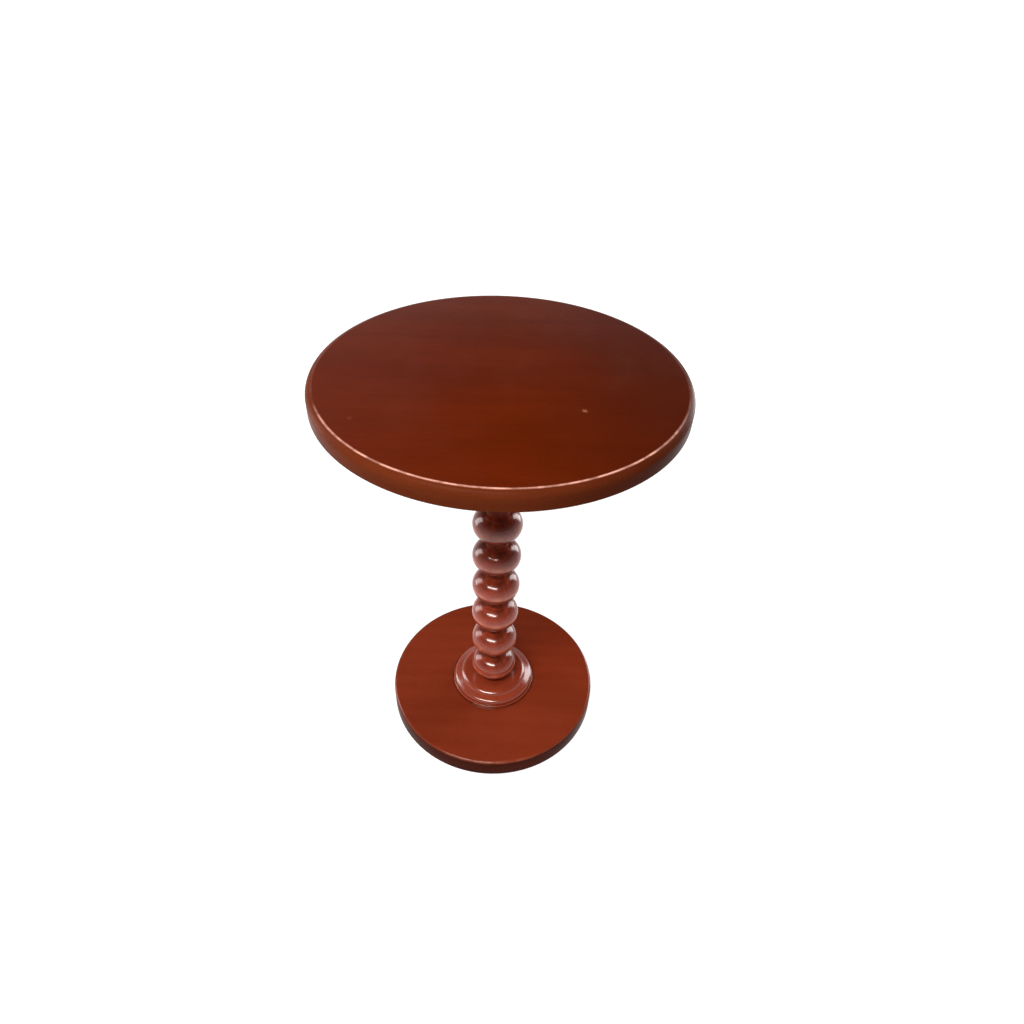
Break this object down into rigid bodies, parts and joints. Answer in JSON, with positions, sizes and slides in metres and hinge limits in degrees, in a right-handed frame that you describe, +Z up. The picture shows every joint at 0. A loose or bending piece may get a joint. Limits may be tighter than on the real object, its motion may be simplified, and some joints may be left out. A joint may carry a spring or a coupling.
{
  "type": "pedestal accent table",
  "caption": "Round side table with a gloss red-brown lacquered top on a bead-turned column, a turned foot collar and a round disc base on floor glides.",
  "frame": {"origin": "on the floor under the middle of the column", "axes": "+Z up along the column; +X and +Y are any two level directions at right angles, with the glides on them"},
  "size_m": [0.455, 0.455, 0.61],
  "materials": {
    "lacquered_wood": "red-brown stain under gloss lacquer",
    "raw_beech": "bare beech",
    "black_steel": "black powder coat",
    "zinc_steel": "zinc plated",
    "insert_brass": "plain brass",
    "glide_nylon": "moulded nylon"
  },
  "bodies": {
    "root": {"tabletop": "lacquered_wood", "column": "lacquered_wood", "foot_collar": "lacquered_wood", "base_disc": "lacquered_wood", "collar_dowels": "raw_beech", "top_plate": "black_steel", "column_top_insert": "insert_brass", "column_foot_insert": "insert_brass", "plate_screws": "zinc_steel", "top_bolt": "zinc_steel", "base_bolt": "zinc_steel", "base_lock_washer": "zinc_steel", "base_flat_washer": "zinc_steel", "glide_screws": "zinc_steel", "floor_glide_1": "glide_nylon", "floor_glide_2": "glide_nylon", "floor_glide_3": "glide_nylon", "floor_glide_4": "glide_nylon"}
  },
  "joints": []
}
